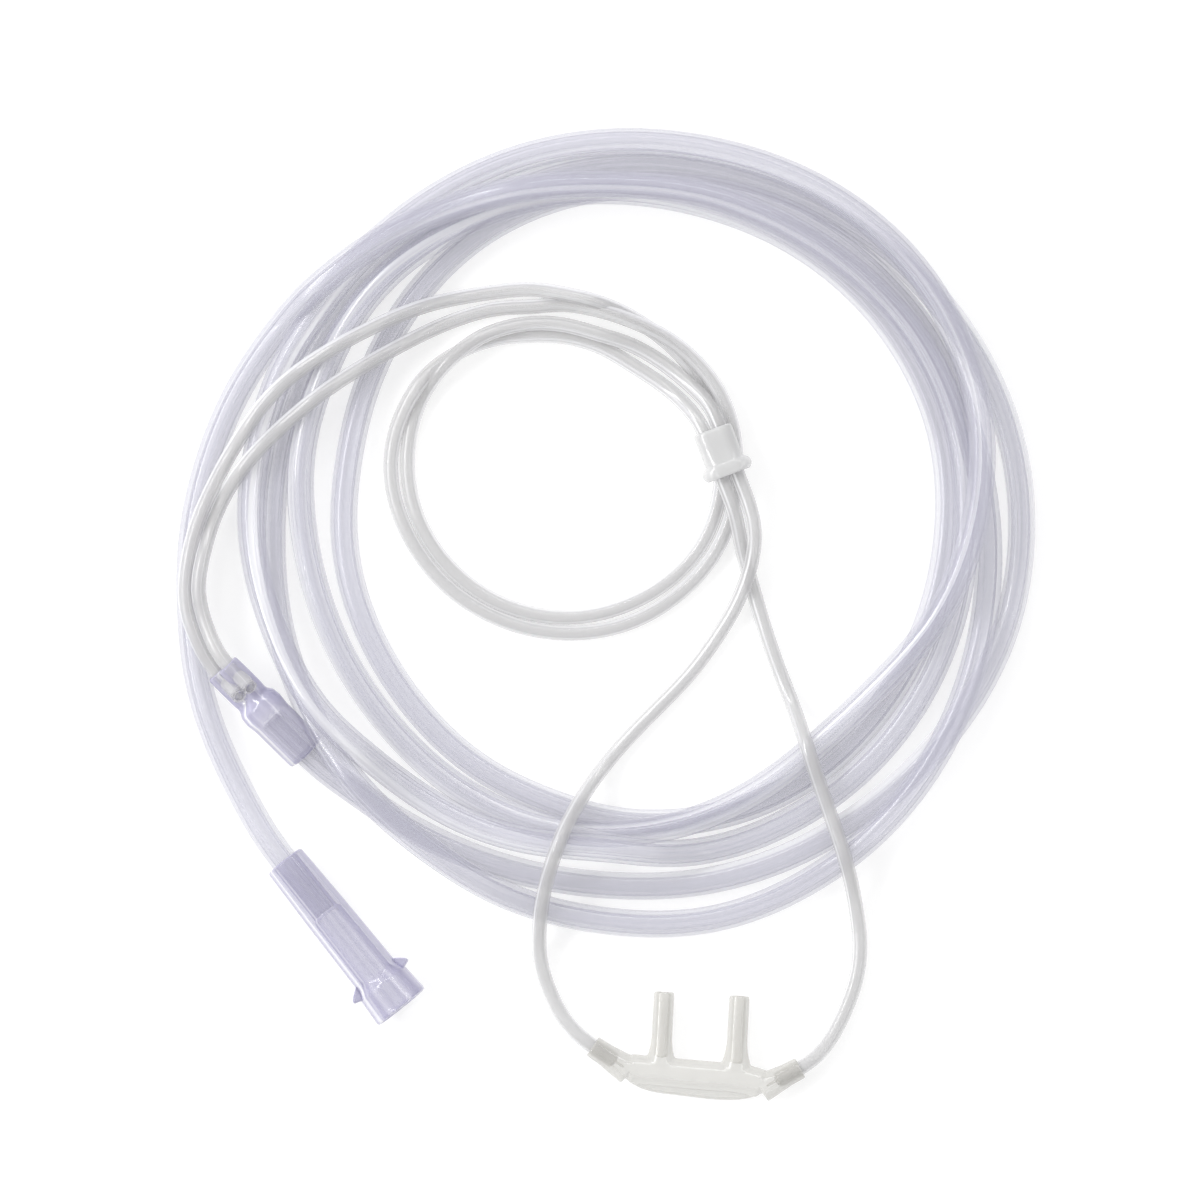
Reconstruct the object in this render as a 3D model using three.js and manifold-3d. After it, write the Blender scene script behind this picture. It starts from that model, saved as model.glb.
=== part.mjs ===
// A nasal oxygen cannula, laid flat: a long supply tube in a loose coil of five turns, a Y connector,
// a pair of thin tubes in one small coil, a sliding sleeve on the pair, and a soft nasal piece.
// Millimetres, +Z up, floor at z = 0. +Y points from the nasal piece to the top of the coils.

import * as THREE from "three";
import { mergeVertices } from "three/addons/utils/BufferGeometryUtils.js";
import Module from "manifold-3d";

const wasm = await Module();
wasm.setup();

// Driving dimensions: tubing and fits
const supplyTubeDiameter = 5.1;
const lariatTubeDiameter = 2.8;
const socketClearance = 0.15; // round a tube in its moulded socket
const touchGap = 0.3; // between pieces that lie against each other
const restingGap = 0.05; // under a tilted fitting, so that its widest rim stays on the floor

// Driving dimensions: supply connector
const connectorLength = 34.9;
const connectorTubeEndRadius = 3.9;
const connectorWaistRadius = 4.25;
const connectorBellyRadius = 4.5;
const connectorSocketDepth = 12.4;
const connectorBoreRadius = 3.1;
const connectorMouthRadius = 5.6;
const connectorMouthWall = 0.75;
const connectorMouthDepth = 7.2;
const connectorFlareLength = 1.2;
const connectorFlareTaper = 0.25; // of its outside, up to the mouth
const connectorFlareBoreLength = 1.5;
const connectorFlareBoreTaper = 0.55;
const connectorBoreTaper = 0.45;
const connectorBoreStep = 0.5; // the tube's stop at the bottom of its socket
const connectorEndChamfer = 0.35;
const connectorLugAt = 0.8; // from the start of the flare to the lug's tip
const connectorLugReach = 6.5;
const connectorLugWidth = 3.4;
const connectorLugRise = 1.9; // along the connector, from the belly to the lug's tip
const connectorLugTip = 0.5;
const connectorLugBack = 0.3;
const connectorLugSetIn = 0.1; // below the surface that the lug stands on

// Driving dimensions: Y connector
const yLength = 22.3;
const yBarrelRadius = 2.15;
const yBarrelSpacing = 3.5;
const yBarrelLength = 9;
const yBarrelRoll = 45; // degrees that the pair of barrels is turned about the axis
const yLariatSocketDepth = 6.5;
const yHubRadius = 4.25;
const yHubAt = 11;
const yHubLength = 4.2; // from its root among the barrels to its widest place
const yHubTaper = 2; // along the axis, on either side of the hub's widest place
const yHubStep = 0.4;
const yEndChamfer = 0.4;
const ySupplySocketRadius = 3.95;
const ySupplySocketDepth = 9.2;
const yDuctRadius = 0.84;
const yChamberRadius = 2.04;
const yPitch = 8; // degrees, because the lariat tubes hold the upper end off the floor

// Driving dimensions: tension slide
const slideLength = 9.1;
const slideBodyWidth = 7.4;
const slideBodyHeight = 4.9;
const slideFlangeWidth = 9.6;
const slideFlangeHeight = 6;
const slideFlangeThickness = 2.4;
const slideEdgeRound = 0.6;
const slideTravel = 6; // along the straight pair of tubes below it
const lariatPairSpacing = 3;

// Driving dimensions: nasal piece
const prongSpacing = 14;
const prongRadius = 1.92;
const prongWall = 0.65;
const prongTipAt = 10.4;
const prongEndChamfer = 0.3;
const prongBoreDepth = 4.5;
const nasalSocketWall = 0.55;
const nasalSocketDepth = 5;
const nasalBarRadius = 2.75;
const nasalDuctRadius = 1.2;
const nasalBarSetIn = 0.6; // from the bottom of a socket's bore to the end of the bar
const nasalSocketRun = 3; // of the socket's outside, past the bottom of its bore
const nasalAxisHeight = 2.75;
const flapThickness = 2;
const flapEdgeRound = 0.4;

// Driving dimensions: heights of the coils, two layers of supply tube and one of lariat tube
const supplyCoilHeight = 9.5;
const lariatCoilHeight = 2.9;

// Places on the floor plan, [x, y]
const connectorTubeEnd = [-41.5, -18.4];
const connectorMouth = [-19.7, -45.5];
const yUpperEnd = [-53, 17.3];
const yLowerEnd = [-37.3, 1.6];
const slideTop = [37.9, 61.7];
const slideBottom = [41.1, 53.2];
const nasalOrigin = [35.5, -53.5];
const nasalHeading = -3; // degrees
const supplyCoilCentre = [18.6, 42.3];
const lariatCoilCentre = [10.6, 55.1];

// Outline of the supply coil: clock angle in degrees, inner radius, outer radius
const supplyCoilOutline = [
  [0, 60.5, 80], [15, 61.9, 80.2], [30, 62.5, 79.4], [45, 62.3, 78.3], [60, 61.6, 77.6],
  [75, 61, 76.3], [90, 61, 75.3], [105, 59.7, 74], [120, 56.2, 72.5], [135, 52.8, 71.2],
  [150, 49.5, 70.5], [165, 47.3, 69.6], [180, 46.3, 68.8], [195, 45.8, 67], [210, 45.7, 66.6],
  [225, 46, 68.1], [240, 46.9, 69.9], [255, 48.5, 72.5], [270, 50.7, 74.6], [285, 52.9, 76.8],
  [300, 52.5, 77.2], [315, 52.7, 76.8], [330, 54.9, 76], [345, 59.1, 78.7],
];

// Outline of the lariat coil, in the same terms; its top also holds the arc that leads into the slide
const lariatCoilOutline = [
  [0, 27.9, 33.3], [30, 27.9, 32.7], [45, 25.3, 31.8], [60, 22.1, 31.4], [75, 21.9, 32],
  [90, 22.5, 33.1], [105, 23.6, 33.5], [120, 25.5, 31.6], [135, 27.3, 30.3], [150, 28.1, 31.6],
  [165, 28.2, 33.3], [180, 27.9, 33.9], [210, 27.7, 33.1], [240, 27.2, 32.5], [270, 27, 32.7],
  [300, 27.2, 33.3], [330, 27.9, 33.7],
];

// Routes of the stretches that aren't coiled, as centre-line points [x, y, z] between their sockets
const supplyStartRoute = [[-33.1, -2.2, 3.4], [-28.9, -5.2, 3], [-24.1, -8.6, 2.8]];
const supplyTailRoute = [
  [-23.8, 96.5, 7], [-31.7, 90.9, 6.6], [-39, 84.1, 5.4], [-46.2, 75.3, 4], [-52, 65.2, 3],
  [-56.5, 52.8, 2.6], [-58.9, 39.6, 2.6], [-58.9, 25.8, 2.6], [-57.6, 15.1, 2.6], [-54.3, 4.3, 2.6],
  [-49.8, -5.3, 3],
];
const leftLeadRoute = [
  [-56.9, 21, 6.8], [-59.1, 26.2, 6.9], [-59.9, 31.9, 6.9], [-59.1, 38.2, 6.9], [-57.7, 44.1, 7.2],
  [-55.4, 49.7, 8.6], [-52.8, 54.9, 10.4], [-48.7, 61.6, 11.4], [-43.9, 67.9, 11.4],
  [-37.6, 73.3, 11.4], [-29.6, 78.2, 11.4], [-21.9, 82.1, 11], [-14.5, 84.9, 7.9], [-7.4, 86.5, 4.2],
  [-0.6, 87.5, 2], [5, 87.8, 1.5],
];
const rightLeadRoute = [
  [-54.7, 22, 8.9], [-56.7, 27.2, 9], [-57.6, 31.9, 9], [-56.7, 38.2, 9], [-54.9, 44.5, 9.2],
  [-51.9, 50.5, 10], [-48, 55.9, 11.1], [-43.2, 60.9, 11.4], [-36.8, 66.5, 11.4],
  [-29.4, 71.8, 11.4], [-20.6, 76.9, 11], [-13.4, 80.6, 8.2], [-7.1, 83, 4.8], [-0.6, 84.4, 2.2],
  [5, 84.5, 1.5],
];
const slideInletOuterRoute = [[23.1, 77.4, 1.6], [29, 73.9, 2.8], [34, 69.8, 4.8], [37.6, 66, 6]];
const slideInletInnerRoute = [[21.9, 74.4, 1.6], [27, 71.2, 2.8], [31.4, 67.8, 4.8], [34.4, 64.6, 6]];
const leftLoopRoute = [
  [45.9, 42.1, 6.1], [45.4, 37.4, 5.6], [44.1, 33, 4.9], [41.9, 28.1, 3.9], [38.1, 22, 2.3],
  [33.5, 15.9, 1.5], [27.3, 9.5, 1.9], [21.8, 3.8, 5], [17.1, -1.8, 9.2], [13.4, -7.2, 11.3],
  [10.2, -13.2, 11.4], [7.8, -19.9, 11.4], [6.3, -26.2, 11.2], [5.8, -32.3, 7.8], [6.1, -37.9, 4],
  [7.8, -42.9, 2.75], [10.4, -48, 2.75],
];
const rightLoopRoute = [
  [43.1, 41.2, 4.4], [44.3, 36.5, 2.3], [45.6, 31.9, 1.6], [48.4, 22.6, 1.5], [51.1, 15.1, 3],
  [53.4, 9.2, 7], [55.4, 3, 10.8], [57.7, -3.9, 11.4], [59.9, -10, 11.4], [62.1, -16.5, 11.4],
  [63.8, -22.5, 9.9], [64.9, -28.6, 6.2], [65.5, -34.7, 3.3], [64.7, -40.7, 2.75],
  [62.7, -46.3, 2.75], [60, -51.6, 2.75],
];

// Nasal piece in its own plan: the socket mouths, the middle of the bar and the lower edge of the flap
const nasalSocketTilt = 31; // degrees
const nasalLeftMouth = [-19.8, -0.4];
const nasalRightMouth = [19, -2.4];
const nasalBarMiddle = [[-9.5, -4.3], [-3, -4.6], [3.5, -4.8], [9.5, -5.2]];
const flapLowerEdge = [
  [-16, -4], [-10.8, -8], [-4, -8.8], [2.9, -9.2], [9.5, -8.7], [12.4, -7.5], [15.8, -5.2],
];

// Flared root of a prong: distance along it, and how much wider than the prong it is there
const prongRoot = [[-3.5, 0.78], [-2, 0.78], [-0.6, 0.45], [1, 0]];

// Working values
const supplyTubeRadius = supplyTubeDiameter / 2;
const lariatTubeRadius = lariatTubeDiameter / 2;
const supplySocketRadius = supplyTubeRadius + socketClearance;
const lariatSocketRadius = lariatTubeRadius + socketClearance;
const slideAxisHeight = lariatCoilHeight + touchGap + slideFlangeHeight / 2;
const fineSides = 32;
const roundSides = 24;
const ductSides = 12;
const fullTurn = 360;
const clockSteps = 1000; // to a degree, so that both ends of a ring meet
const tubeStep = 2.2; // length of a step along a tube's solid, in tube diameters
const coilSquareness = 0.7; // 1 makes a coil's section an ellipse, 0 a box
const through = 1; // how far a cutter runs past the face that it opens

const radians = THREE.MathUtils.degToRad;

// The point at a distance from a place along a direction
function along(place, direction, distance) {
  return place.clone().addScaledVector(direction, distance);
}

// A closed geometry as a solid for joins and cuts
function solidOf(geometry) {
  const bare = geometry.index ? geometry.toNonIndexed() : geometry.clone();
  bare.deleteAttribute("normal");
  bare.deleteAttribute("uv");
  const merged = mergeVertices(bare, 1e-4);
  return new wasm.Manifold(
    new wasm.Mesh({
      numProp: 3,
      vertProperties: merged.attributes.position.array,
      triVerts: new Uint32Array(merged.index.array),
    }),
  );
}

// A solid as a geometry again
function geometryOf(solid) {
  const mesh = solid.getMesh();
  const places = new Float32Array(mesh.numVert * 3);
  for (let i = 0; i < mesh.numVert; i += 1) {
    places.set(mesh.vertProperties.subarray(i * mesh.numProp, i * mesh.numProp + 3), i * 3);
  }
  const geometry = new THREE.BufferGeometry();
  geometry.setAttribute("position", new THREE.BufferAttribute(places, 3));
  geometry.setIndex(new THREE.BufferAttribute(new Uint32Array(mesh.triVerts), 1));
  geometry.computeVertexNormals();
  return geometry;
}

const joined = (solids) => solids.reduce((all, next) => all.add(next));
const cut = (solid, cutters) => cutters.reduce((rest, next) => rest.subtract(next), solid);

// A turned solid about the local X axis, from pairs of distance along it and radius
function turned(profile, sides = fineSides) {
  const points = profile.map(([distance, radius]) => new THREE.Vector2(radius, distance));
  return solidOf(new THREE.LatheGeometry(points, sides).rotateZ(-Math.PI / 2));
}

const rod = (from, to, radius, sides) =>
  turned([[from, 0], [from, radius], [to, radius], [to, 0]], sides);

// A slot outline in the local YZ plane, pushed along X, with its end edges rounded
function slotPrism(width, height, from, to, round = 0) {
  const geometry = new THREE.ExtrudeGeometry(slotShape(width - 2 * round, height - 2 * round), {
    depth: to - from - 2 * round,
    curveSegments: 8,
    bevelEnabled: round > 0,
    bevelThickness: round,
    bevelSize: round,
    bevelSegments: 2,
  });
  geometry.translate(0, 0, from + round);
  const turnToX = new THREE.Matrix4().set(0, 0, 1, 0, 1, 0, 0, 0, 0, 1, 0, 0, 0, 0, 0, 1);
  return solidOf(geometry.applyMatrix4(turnToX));
}

// A slot outline with round ends
function slotShape(width, height) {
  const reach = (width - height) / 2;
  const shape = new THREE.Shape();
  shape.absarc(reach, 0, height / 2, -Math.PI / 2, Math.PI / 2);
  shape.absarc(-reach, 0, height / 2, Math.PI / 2, (3 * Math.PI) / 2);
  return shape;
}

// The frame of a fitting: its X axis runs from one place to another and its Y axis stays level
function fittingFrame(from, to) {
  const x = to.clone().sub(from).normalize();
  const y = new THREE.Vector3(-x.y, x.x, 0).normalize();
  const z = x.clone().cross(y);
  return new THREE.Matrix4().makeBasis(x, y, z).setPosition(from);
}

const inFrame = (frame, x, y, z) => new THREE.Vector3(x, y, z).applyMatrix4(frame);
const moved = (solid, frame) => solid.transform(frame.elements);

// A plain round tube along a centre line; grow makes the wider copy that cuts its neighbours clear
function tubeSolid(route, diameter, sides, grow = 0) {
  const places = route.map((place) => place.clone());
  const last = places.length - 1;
  const startWay = places[0].clone().sub(places[1]).normalize();
  const endWay = places[last].clone().sub(places[last - 1]).normalize();
  places[0].addScaledVector(startWay, grow);
  places[last].addScaledVector(endWay, grow);
  const curve = new THREE.CatmullRomCurve3(places, false, "centripetal");
  const section = new THREE.Shape();
  for (let i = 0; i < sides; i += 1) {
    const angle = (2 * Math.PI * i) / sides;
    const radius = diameter / 2 + grow;
    const corner = [radius * Math.cos(angle), radius * Math.sin(angle)];
    if (i === 0) section.moveTo(...corner);
    else section.lineTo(...corner);
  }
  const steps = Math.ceil(curve.getLength() / (tubeStep * diameter));
  return solidOf(new THREE.ExtrudeGeometry(section, { steps, extrudePath: curve, bevelEnabled: false }));
}

const points = (route) => route.map((place) => new THREE.Vector3(...place));

// The outline radii at a clock angle, eased between the stations on either side
function outlineAt(outline, clock) {
  const turn = (clock + fullTurn) % fullTurn;
  const next = outline.findIndex(([angle]) => angle > turn);
  const b = next === -1 ? 0 : next;
  const a = (b + outline.length - 1) % outline.length;
  const span = (outline[b][0] - outline[a][0] + fullTurn) % fullTurn;
  const share = (turn - outline[a][0]) / span;
  const ease = share * share * (3 - 2 * share);
  return [1, 2].map((side) => THREE.MathUtils.lerp(outline[a][side], outline[b][side], ease));
}

// A closed ring with the outer shape of a coil: a turned ring whose radii follow the outline
function coilSolid([centreX, centreY], outline, height, segments, sides) {
  const ringRadius = 2;
  const squared = (value) => Math.sign(value) * Math.abs(value) ** coilSquareness;
  const section = Array.from({ length: sides + 1 }, (_, i) => {
    const angle = (2 * Math.PI * (i % sides)) / sides;
    return new THREE.Vector2(ringRadius + squared(Math.cos(angle)), squared(Math.sin(angle)));
  });
  const ring = new THREE.LatheGeometry(section, segments).rotateX(Math.PI / 2);
  const place = ring.attributes.position;
  for (let i = 0; i < place.count; i += 1) {
    const x = place.getX(i);
    const y = place.getY(i);
    const clock = THREE.MathUtils.radToDeg(Math.atan2(y, x));
    const [inner, outer] = outlineAt(outline, Math.round(clock * clockSteps) / clockSteps);
    const across = (Math.hypot(x, y) - ringRadius + 1) / 2;
    const radius = THREE.MathUtils.lerp(inner, outer, across);
    const turn = radians(clock);
    const up = (place.getZ(i) + 1) / 2;
    place.setXYZ(i, centreX + radius * Math.cos(turn), centreY + radius * Math.sin(turn), height * up);
  }
  return solidOf(ring);
}

// Supply connector: a turned body with a tube socket, a flared mouth and two finger lugs
const connectorStart = new THREE.Vector3(...connectorTubeEnd, connectorTubeEndRadius);
const connectorEnd = new THREE.Vector3(...connectorMouth, connectorMouthRadius + restingGap);
const connectorFrame = fittingFrame(connectorStart, connectorEnd);

const connectorFlareFrom = connectorLength - connectorMouthDepth;

// A lug rises along the body in a ramp to a short tip and drops steeply to the flare
function connectorLug(side) {
  const tip = connectorFlareFrom + connectorLugAt;
  const foot = tip - connectorLugRise;
  const back = tip + connectorLugTip + connectorLugBack;
  const inside = connectorBellyRadius - 1;
  const shape = new THREE.Shape();
  shape.moveTo(foot, side * inside);
  shape.lineTo(foot, side * (connectorBellyRadius - connectorLugSetIn));
  shape.lineTo(tip, side * connectorLugReach);
  shape.lineTo(tip + connectorLugTip, side * connectorLugReach);
  shape.lineTo(back, side * (connectorMouthRadius - connectorFlareTaper - connectorLugSetIn));
  shape.lineTo(back, side * inside);
  const lug = new THREE.ExtrudeGeometry(shape, { depth: connectorLugWidth, bevelEnabled: false });
  return solidOf(lug.translate(0, 0, -connectorLugWidth / 2));
}

function connectorSolid() {
  const mouthBore = connectorMouthRadius - connectorMouthWall;
  const body = turned([
    [0, 0],
    [0, connectorTubeEndRadius - connectorEndChamfer],
    [connectorEndChamfer, connectorTubeEndRadius],
    [connectorSocketDepth, connectorWaistRadius],
    [connectorFlareFrom, connectorBellyRadius],
    [connectorFlareFrom + connectorFlareLength, connectorMouthRadius - connectorFlareTaper],
    [connectorLength, connectorMouthRadius],
    [connectorLength, 0],
  ]);
  const flare = turned([
    [connectorSocketDepth - through, 0],
    [connectorSocketDepth - through, connectorBoreRadius - connectorBoreStep],
    [connectorSocketDepth, connectorBoreRadius],
    [connectorFlareFrom, connectorBoreRadius + connectorBoreTaper],
    [connectorFlareFrom + connectorFlareBoreLength, mouthBore - connectorFlareBoreTaper],
    [connectorLength, mouthBore],
    [connectorLength + through, mouthBore],
    [connectorLength + through, 0],
  ]);
  const tubeSocket = rod(-through, connectorSocketDepth, supplySocketRadius);
  const outside = joined([body, connectorLug(1), connectorLug(-1)]);
  return moved(cut(outside, [flare, tubeSocket]), connectorFrame);
}

// Y connector: two rolled barrels for the lariat tubes, a hub and one socket for the supply tube
const yLow = new THREE.Vector3(...yLowerEnd, ySupplySocketRadius);
const yRise = yLength * Math.sin(radians(yPitch));
const yHigh = new THREE.Vector3(...yUpperEnd, ySupplySocketRadius + yRise);
const yFrame = fittingFrame(yHigh, yLow);
const yBarrelReach = yBarrelSpacing / 2;
const yBarrelOffsets = [-1, 1].map((side) => [
  side * yBarrelReach * Math.cos(radians(yBarrelRoll)),
  side * yBarrelReach * Math.sin(radians(yBarrelRoll)),
]);

function yHubProfile(grow = 0) {
  const hubFrom = yHubAt - yHubLength;
  return [
    [hubFrom, 0],
    [hubFrom, yBarrelRadius + grow],
    [yHubAt - yHubTaper, yHubRadius - yHubStep + grow],
    [yHubAt, yHubRadius + grow],
    [yHubAt + yHubTaper, ySupplySocketRadius + grow],
    [yLength - yEndChamfer + grow, ySupplySocketRadius + grow],
    [yLength + grow, ySupplySocketRadius - yEndChamfer + grow],
    [yLength + grow, 0],
  ];
}

function ySolid() {
  const barrels = yBarrelOffsets.map(([y, z]) =>
    rod(0, yBarrelLength, yBarrelRadius, roundSides).translate([0, y, z]),
  );
  const lariatSockets = yBarrelOffsets.map(([y, z]) =>
    rod(-through, yLariatSocketDepth, lariatSocketRadius, roundSides).translate([0, y, z]),
  );
  const ducts = yBarrelOffsets.map(([y, z]) =>
    rod(yLariatSocketDepth - through, yHubAt, yDuctRadius, roundSides).translate([0, y, z]),
  );
  const supplySocket = rod(yLength - ySupplySocketDepth, yLength + through, supplySocketRadius);
  const chamber = rod(yHubAt - yHubTaper, yLength - ySupplySocketDepth + through, yChamberRadius);
  const outside = joined([turned(yHubProfile()), ...barrels]);
  return moved(cut(outside, [...lariatSockets, ...ducts, chamber, supplySocket]), yFrame);
}

// The space that the Y connector needs among the tubes
function yEnvelope() {
  const barrels = yBarrelOffsets.map(([y, z]) =>
    rod(-touchGap, yBarrelLength, yBarrelRadius + touchGap, roundSides).translate([0, y, z]),
  );
  return moved(joined([turned(yHubProfile(touchGap)), ...barrels]), yFrame);
}

// Tension slide: an oval sleeve with a rounded flange, bored for the two lariat tubes side by side
const slideHigh = new THREE.Vector3(...slideTop, slideAxisHeight);
const slideLow = new THREE.Vector3(...slideBottom, slideAxisHeight);
const slideFrame = fittingFrame(slideHigh, slideLow);

function slideSolid() {
  const body = slotPrism(slideBodyWidth, slideBodyHeight, 0, slideLength, slideEdgeRound / 2);
  const flangeFrom = slideLength - slideFlangeThickness;
  const flange = slotPrism(slideFlangeWidth, slideFlangeHeight, flangeFrom, slideLength, slideEdgeRound);
  const boreHeight = lariatTubeDiameter + 2 * socketClearance;
  const boreWidth = lariatPairSpacing + boreHeight;
  const bore = slotPrism(boreWidth, boreHeight, -through, slideLength + through);
  return moved(body.add(flange).subtract(bore), slideFrame);
}

// Nasal piece: a hollow bar between two tube sockets, two straight prongs and a flat lower flap
const nasalFrame = new THREE.Matrix4()
  .makeRotationZ(radians(nasalHeading))
  .setPosition(nasalOrigin[0], nasalOrigin[1], nasalAxisHeight);
const nasalSocketRadius = lariatSocketRadius + nasalSocketWall;
const socketTurn = radians(-nasalSocketTilt);
const leftSocketWay = new THREE.Vector3(Math.cos(socketTurn), Math.sin(socketTurn), 0);
const rightSocketWay = new THREE.Vector3(-leftSocketWay.x, leftSocketWay.y, 0);
const nasalMouths = [
  { place: new THREE.Vector3(...nasalLeftMouth, 0), way: leftSocketWay },
  { place: new THREE.Vector3(...nasalRightMouth, 0), way: rightSocketWay },
];

// A rod in the nasal piece's plan from a place along a level way
function levelRod(place, way, from, to, radius, sides = roundSides) {
  const frame = fittingFrame(place, place.clone().add(way));
  return moved(rod(from, to, radius, sides), frame);
}

function nasalProng(side) {
  const shank = turned([
    [prongRoot[0][0], 0],
    ...prongRoot.map(([distance, growth]) => [distance, prongRadius + growth]),
    [prongTipAt - prongEndChamfer, prongRadius],
    [prongTipAt, prongRadius - prongEndChamfer],
    [prongTipAt, 0],
  ], roundSides);
  const frame = new THREE.Matrix4().makeRotationZ(Math.PI / 2).setPosition((side * prongSpacing) / 2, 0, 0);
  const bore = rod(-prongBoreDepth, prongTipAt + through, prongRadius - prongWall, roundSides);
  return { shank: moved(shank, frame), bore: moved(bore, frame) };
}

function nasalSolid() {
  const [left, right] = nasalMouths.map(({ place, way }) => along(place, way, nasalSocketDepth + nasalBarSetIn));
  const middle = nasalBarMiddle.map(([x, y]) => new THREE.Vector3(x, y, 0));
  const bar = tubeSolid([left, ...middle, right], 2 * nasalBarRadius, roundSides);
  const duct = tubeSolid([left, ...middle, right], 2 * nasalDuctRadius, ductSides, touchGap);
  const sockets = nasalMouths.map(({ place, way }) =>
    levelRod(place, way, 0, nasalSocketDepth + nasalSocketRun, nasalSocketRadius),
  );
  const socketBores = nasalMouths.map(({ place, way }) =>
    levelRod(place, way, -through, nasalSocketDepth, lariatSocketRadius),
  );
  const socketDucts = nasalMouths.map(({ place, way }) =>
    levelRod(place, way, 0, nasalSocketDepth + nasalSocketRun / 2, nasalDuctRadius, ductSides),
  );
  const flapShape = new THREE.Shape();
  const [flapStart, ...flapRest] = flapLowerEdge.map(([x, y]) => new THREE.Vector2(x, y + flapEdgeRound));
  flapShape.moveTo(flapStart.x, flapStart.y);
  flapShape.splineThru(flapRest);
  flapShape.lineTo(nasalBarMiddle[3][0], nasalBarMiddle[3][1] + 1);
  flapShape.lineTo(nasalBarMiddle[0][0], nasalBarMiddle[0][1] + 1);
  const flap = new THREE.ExtrudeGeometry(flapShape, {
    depth: flapThickness - 2 * flapEdgeRound,
    curveSegments: 14,
    bevelThickness: flapEdgeRound,
    bevelSize: flapEdgeRound,
    bevelSegments: 2,
  }).translate(0, 0, flapEdgeRound - nasalAxisHeight);
  const prongs = [-1, 1].map(nasalProng);
  const outside = joined([bar, solidOf(flap), ...sockets, ...prongs.map(({ shank }) => shank)]);
  const bores = [duct, ...socketBores, ...socketDucts, ...prongs.map(({ bore }) => bore)];
  return moved(cut(outside, bores), nasalFrame);
}

// Where each tube stands in its socket, from the bottom of the socket to just outside
function straightIn(frame, y, z, bottom, outside) {
  return [bottom, (bottom + outside) / 2, outside].map((distance) => inFrame(frame, distance, y, z));
}

const yStartEnd = straightIn(yFrame, 0, 0, yLength - ySupplySocketDepth + touchGap, yLength + 2);
const connectorTailEnd = straightIn(connectorFrame, 0, 0, connectorSocketDepth - touchGap, -4).reverse();
const [leftLeadEnd, rightLeadEnd] = yBarrelOffsets.map(([y, z]) =>
  straightIn(yFrame, y, z, yLariatSocketDepth - touchGap, -1.5),
);
const [leftLoopEnd, rightLoopEnd] = nasalMouths.map(({ place, way }) =>
  [-2, nasalSocketDepth / 2, nasalSocketDepth - touchGap].map((distance) =>
    along(place, way, distance).applyMatrix4(nasalFrame),
  ),
);

// The two tubes run straight and parallel through the slide and on past the end of its travel
const [leftThroughSlide, rightThroughSlide] = [1, -1].map((side) =>
  [-1, 3, 7, 11, slideLength + slideTravel + 1.5].map((distance) =>
    inFrame(slideFrame, distance, (side * lariatPairSpacing) / 2, 0),
  ),
);

const supplySides = 12;
const lariatSides = 8;
const supplyCoilSteps = 60;
const lariatCoilSteps = 48;
const routes = {
  supply_tube_start: [...yStartEnd, ...points(supplyStartRoute)],
  supply_tube_tail: [...points(supplyTailRoute), ...connectorTailEnd],
  lariat_left_lead: [...leftLeadEnd, ...points(leftLeadRoute)],
  lariat_right_lead: [...rightLeadEnd, ...points(rightLeadRoute)],
  lariat_left_loop: [
    ...points(slideInletOuterRoute), ...leftThroughSlide, ...points(leftLoopRoute), ...leftLoopEnd,
  ],
  lariat_right_loop: [
    ...points(slideInletInnerRoute), ...rightThroughSlide, ...points(rightLoopRoute), ...rightLoopEnd,
  ],
};

const routeSolid = (name, grow = 0) =>
  name.startsWith("supply")
    ? tubeSolid(routes[name], supplyTubeDiameter, supplySides, grow)
    : tubeSolid(routes[name], lariatTubeDiameter, lariatSides, grow);

const clearance = Object.keys(routes).map((name) => routeSolid(name, touchGap));
const supplyCoil = coilSolid(supplyCoilCentre, supplyCoilOutline, supplyCoilHeight, supplyCoilSteps, 12);
const lariatCoil = coilSolid(lariatCoilCentre, lariatCoilOutline, lariatCoilHeight, lariatCoilSteps, 10);

// Finishes
const finish = (color, roughness) => new THREE.MeshStandardMaterial({ color, roughness, metalness: 0 });
const supplyTubing = finish(0xd2d2e4, 0.22);
const lariatTubing = finish(0xe2e2e4, 0.25);
const violetPlastic = finish(0xcac8e2, 0.16);
const milkyPlastic = finish(0xebecef, 0.4);
const softVinyl = finish(0xebebe4, 0.4);

const cannula = new THREE.Group();

function addPiece(name, solid, material) {
  const mesh = new THREE.Mesh(geometryOf(solid), material);
  mesh.name = name;
  cannula.add(mesh);
}

addPiece("nasal_piece", nasalSolid(), softVinyl);
addPiece("tension_slide", slideSolid(), milkyPlastic);
addPiece("y_connector", ySolid(), violetPlastic);
addPiece("supply_connector", connectorSolid(), violetPlastic);
addPiece("supply_tube_coil", cut(supplyCoil, [...clearance, yEnvelope()]), supplyTubing);
addPiece("lariat_coil", cut(lariatCoil, clearance), lariatTubing);
for (const name of Object.keys(routes)) {
  addPiece(name, routeSolid(name), name.startsWith("supply") ? supplyTubing : lariatTubing);
}

export default cannula;
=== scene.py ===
"""A nasal oxygen cannula laid flat: clear tubing in two coils, a Y connector, a tension slide,
a supply connector and a soft nasal piece. Lengths below are in millimetres and are scaled to metres
where a mesh is made; the row frame has +Z up and the floor at z = 0."""

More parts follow.
